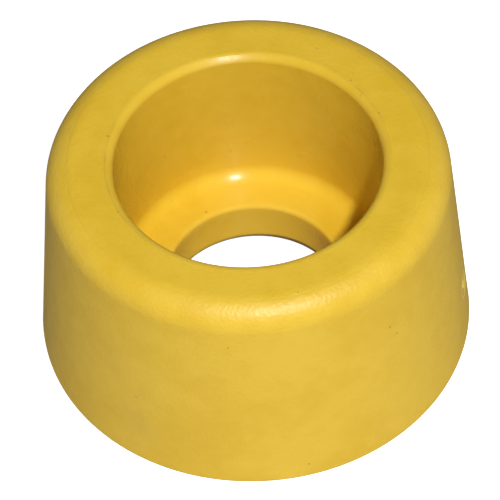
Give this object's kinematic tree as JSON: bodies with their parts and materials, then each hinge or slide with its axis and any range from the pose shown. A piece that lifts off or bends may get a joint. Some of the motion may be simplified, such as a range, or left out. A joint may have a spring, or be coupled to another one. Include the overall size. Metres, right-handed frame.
{
  "type": "fence insulator",
  "caption": "Tapered round plastic insulator with a deep flat-floored recess for a fixing head and a through hole, seated flat on a fence post or gate frame.",
  "frame": {"origin": "centre of the flat base, on the axis of the through hole", "axes": "+Z along the axis, from the wide base towards the narrower open end; +X lies 9 degrees round from the moulding gate mark"},
  "size_m": [0.04, 0.04, 0.0218],
  "materials": {
    "body_plastic": "yellow moulded plastic, fine spark-eroded grain outside, smooth and glossier inside the recess and hole"
  },
  "bodies": {
    "root": {"insulator_body": "body_plastic"}
  },
  "joints": []
}
